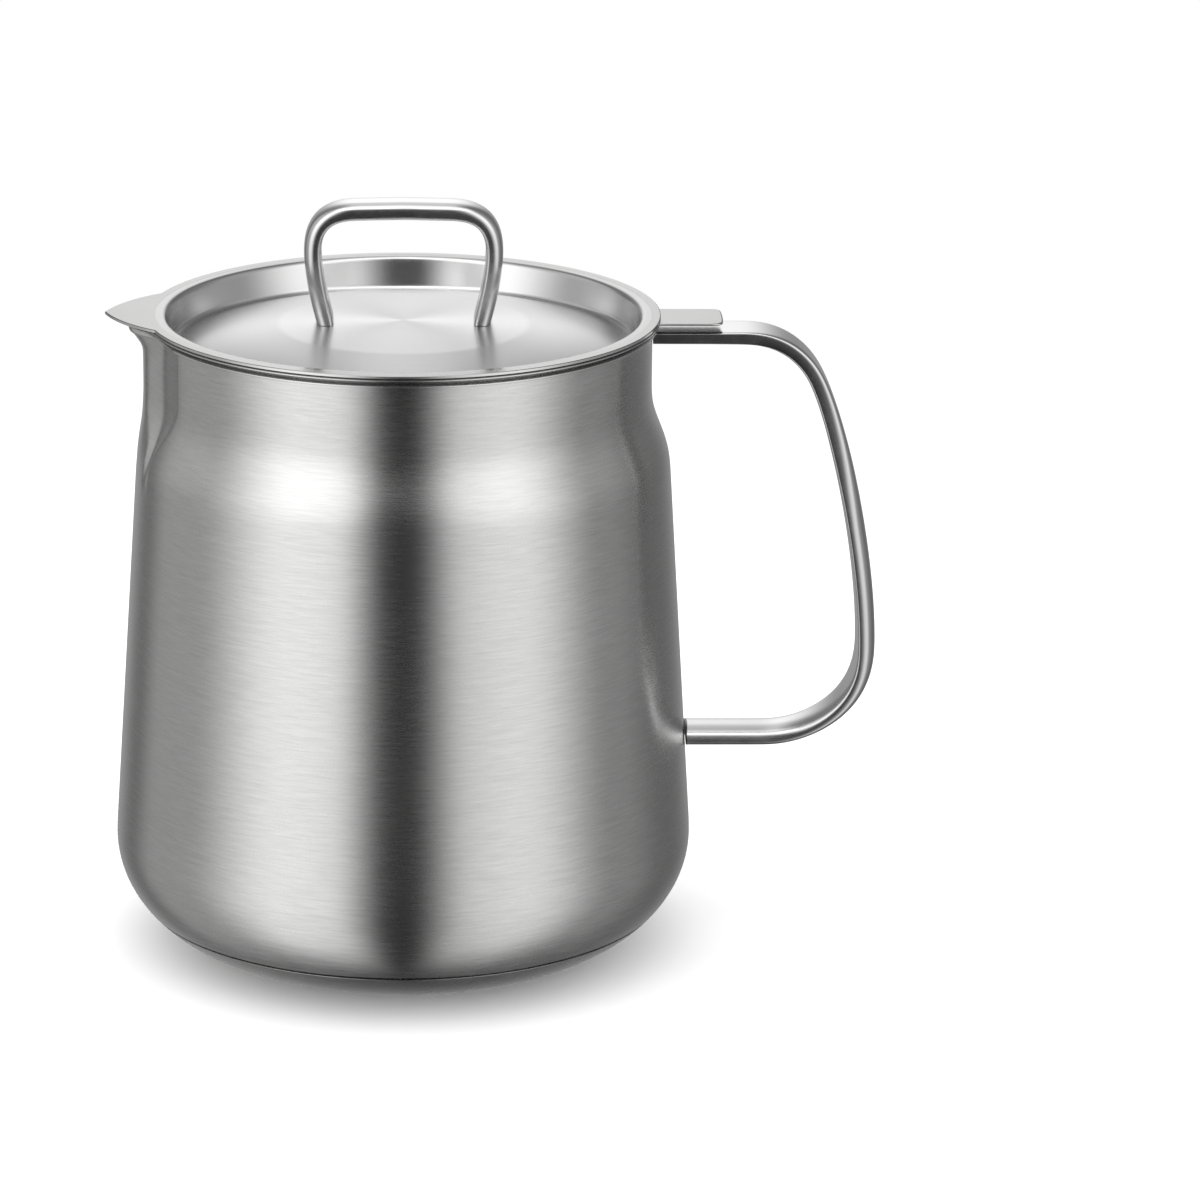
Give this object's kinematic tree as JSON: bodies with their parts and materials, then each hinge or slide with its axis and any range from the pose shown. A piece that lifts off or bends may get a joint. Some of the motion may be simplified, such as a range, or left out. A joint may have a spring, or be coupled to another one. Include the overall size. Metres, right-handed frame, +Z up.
{
  "type": "bacon grease container",
  "caption": "Stainless steel pot for kept frying oil: spouted jug with side handle, beaked lid, hanging drip dish, and a mesh basket with a folding wire bail inside.",
  "frame": {"origin": "on the pot's axis, in the plane of its flat foot", "axes": "+Z up the pot's axis, +X towards the side handle, -X towards the spout"},
  "size_m": [0.2013, 0.1516, 0.2002],
  "materials": {
    "brushed_body": "brushed round the axis",
    "polished_handle": "polished",
    "satin_lid": "turned satin",
    "satin_dish": "turned satin",
    "mesh_steel": "bright expanded sheet",
    "band_steel": "bright rolled strip",
    "wire_steel": "drawn wire"
  },
  "bodies": {
    "pot": {"pot_body": "brushed_body", "base_cap": "brushed_body", "side_handle": "polished_handle"},
    "basket": {"basket_rim_ring": "wire_steel", "basket_collar": "band_steel", "basket_mesh_wall": "mesh_steel", "basket_mesh_floor": "mesh_steel", "basket_bottom_band": "band_steel"},
    "bail": {"basket_bail": "wire_steel"},
    "dish": {"drip_dish": "satin_dish"},
    "lid": {"lid_pan": "satin_lid", "lid_handle": "polished_handle"}
  },
  "joints": [
    {"name": "basket_lift", "type": "slide", "parent": "pot", "child": "basket", "axis": [0, 0, 1], "range_m": [0, 0.18]},
    {"name": "dish_lift", "type": "slide", "parent": "basket", "child": "dish", "axis": [0, 0, 1], "range_m": [0, 0.1]},
    {"name": "lid_lift", "type": "slide", "parent": "dish", "child": "lid", "axis": [0, 0, 1], "range_m": [0, 0.06]},
    {"name": "bail_swing", "type": "hinge", "parent": "basket", "child": "bail", "pos_m": [0, 0, 0.1247], "axis": [1, 0, 0], "range_deg": [0, 78.4]}
  ],
  "couplings": [
    {"joint": "bail_swing", "follows": "dish_lift", "rad_per_m": 13.65}
  ]
}
